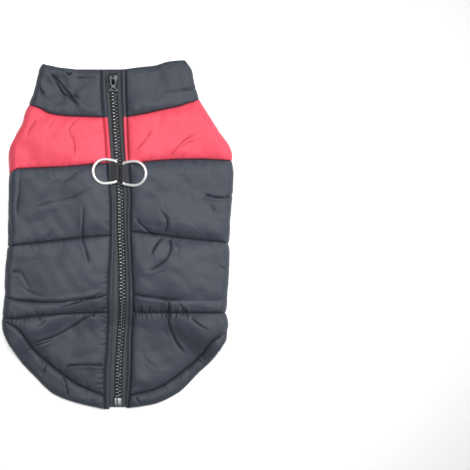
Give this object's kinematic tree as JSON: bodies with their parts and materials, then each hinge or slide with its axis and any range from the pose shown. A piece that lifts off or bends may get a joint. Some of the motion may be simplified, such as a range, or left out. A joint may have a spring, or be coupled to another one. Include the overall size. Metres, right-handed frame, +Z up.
{
  "type": "dog winter coat",
  "caption": "Padded dog winter coat lying flat, with a stand-up collar, a zip down the back, two D-rings, leg holes and an elastic hem.",
  "frame": {"origin": "middle of the coat's box, on the surface it lies on", "axes": "+Y towards the neck, +Z up out of the zip side, +X to the right seen from above"},
  "size_m": [0.2317, 0.3492, 0.0233],
  "materials": {
    "dark_nylon": "woven nylon with a soft sheen",
    "red_nylon": "woven nylon with a soft sheen",
    "binding": "gathered elastic binding, matte",
    "tape": "ribbed woven tape, matte",
    "zip_teeth": "moulded teeth, satin",
    "zip_metal": "dark plated metal",
    "webbing": "woven webbing, matte",
    "ring_metal": "polished chrome"
  },
  "bodies": {
    "coat": {"collar": "dark_nylon", "yoke_left": "red_nylon", "yoke_right": "red_nylon", "back_left": "dark_nylon", "back_right": "dark_nylon", "hem_left": "dark_nylon", "hem_right": "dark_nylon", "hem_belly": "dark_nylon", "belly_panel": "dark_nylon", "shoulder_strip_left": "dark_nylon", "shoulder_strip_right": "dark_nylon", "leg_binding_left": "binding", "leg_binding_right": "binding", "zip_facing": "dark_nylon", "zip_tape_left": "tape", "zip_tape_right": "tape", "zip_chain": "zip_teeth", "zip_slider": "zip_metal", "zip_box": "zip_metal", "ring_loop_left": "webbing", "ring_loop_right": "webbing"},
    "zip_pull": {"zip_pull": "zip_metal"},
    "d_ring_left": {"d_ring_left": "ring_metal"},
    "d_ring_right": {"d_ring_right": "ring_metal"}
  },
  "joints": [
    {"name": "zip_pull_hinge", "type": "hinge", "parent": "coat", "child": "zip_pull", "pos_m": [-0.00373, 0.1552, 0.0131], "axis": [-1, 0, 0], "range_deg": [0, 165]},
    {"name": "d_ring_left_hinge", "type": "hinge", "parent": "coat", "child": "d_ring_left", "pos_m": [-0.0005, 0.0632, 0.017], "axis": [0, 1, 0], "range_deg": [0, 76]},
    {"name": "d_ring_right_hinge", "type": "hinge", "parent": "coat", "child": "d_ring_right", "pos_m": [0.0065, 0.0612, 0.017], "axis": [0, -1, 0], "range_deg": [0, 76]}
  ]
}
